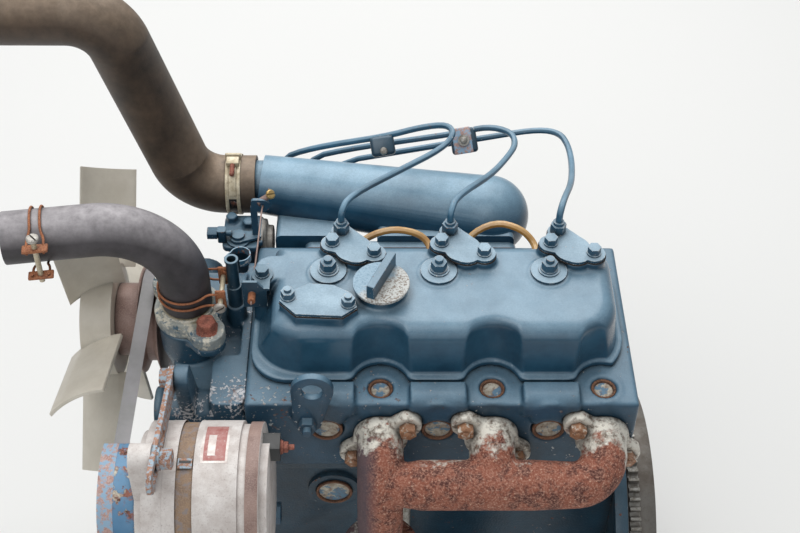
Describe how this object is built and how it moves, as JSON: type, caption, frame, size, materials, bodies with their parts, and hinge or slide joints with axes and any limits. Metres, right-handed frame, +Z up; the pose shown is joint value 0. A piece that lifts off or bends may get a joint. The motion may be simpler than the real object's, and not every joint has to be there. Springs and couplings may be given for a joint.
{
  "type": "diesel tractor engine",
  "caption": "Dressed inline diesel tractor engine with rocker cover, exhaust and intake manifolds, injection lines, belt-driven fan and alternator, and flywheel.",
  "frame": {"origin": "crankshaft centre on the machined rear face of the rear end plate", "axes": "+X along the crankshaft to the rear, +Y to the intake and injection pump side, +Z up through the cylinders"},
  "size_m": [0.6195, 0.4577, 0.7241],
  "materials": {
    "blue_paint": "worn satin blue enamel",
    "steel": "dull zinc",
    "rusty_iron": "rusted, rough",
    "bare_iron": "bare machined and oily",
    "weathered_alloy": "weathered, matt",
    "hose_rubber": "dusty matt",
    "belt_rubber": "dusty matt",
    "cream_plastic": "aged",
    "gasket_paper": "brown, matt",
    "black_paint": "semi-gloss black",
    "cap_alloy": "grey sand-cast",
    "amber_hose": "clear amber, aged",
    "brass": "dull"
  },
  "bodies": {
    "engine": {"cylinder_block": "blue_paint", "oil_pan": "blue_paint", "timing_case": "blue_paint", "rear_plate": "blue_paint", "cylinder_head": "blue_paint", "core_plugs": "steel", "rocker_cover": "blue_paint", "front_lid": "blue_paint", "injector_lids": "blue_paint", "line_nuts": "blue_paint", "cover_nuts": "blue_paint", "filler_cap": "cap_alloy", "injection_lines": "blue_paint", "injection_pump": "blue_paint", "intake_gasket": "gasket_paper", "intake_manifold": "blue_paint", "air_hose": "hose_rubber", "exhaust_manifold": "rusty_iron", "water_pump": "blue_paint", "thermostat_cover": "weathered_alloy", "top_hose": "hose_rubber", "fan_belt": "belt_rubber", "alternator": "weathered_alloy", "alternator_stator": "rusty_iron", "alternator_rear": "weathered_alloy", "alternator_bracket": "blue_paint", "adjusting_strap": "rusty_iron", "belt_guard": "blue_paint", "lifting_eye": "blue_paint", "starter_motor": "black_paint", "oil_filter": "black_paint", "dipstick": "steel", "governor_housing": "blue_paint", "stop_linkage": "blue_paint", "cable_bracket": "blue_paint", "hose_clamps": "rusty_iron", "air_band": "brass", "return_hoses": "amber_hose", "manifold_nuts": "bare_iron", "vent_pipe": "black_paint"},
    "crank": {"crank_pulley": "bare_iron", "crankshaft": "steel", "flywheel": "bare_iron", "ring_gear": "steel"},
    "fan": {"fan": "cream_plastic", "fan_spacer": "rusty_iron", "fan_pulley": "rusty_iron"},
    "alternator_rotor": {"alternator_pulley": "bare_iron"}
  },
  "joints": [
    {"name": "crank_spin", "type": "hinge", "parent": "engine", "child": "crank", "pos_m": [0, 0, 0], "axis": [1, 0, 0], "continuous": true},
    {"name": "fan_spin", "type": "hinge", "parent": "engine", "child": "fan", "pos_m": [-0.44, 0.025, 0.281], "axis": [1, 0, 0], "continuous": true},
    {"name": "alternator_spin", "type": "hinge", "parent": "engine", "child": "alternator_rotor", "pos_m": [-0.44, -0.175, 0.287], "axis": [1, 0, 0], "continuous": true}
  ],
  "couplings": [
    {"joint": "fan_spin", "follows": "crank_spin", "ratio": 1.4419},
    {"joint": "alternator_spin", "follows": "crank_spin", "ratio": 1.6316}
  ]
}
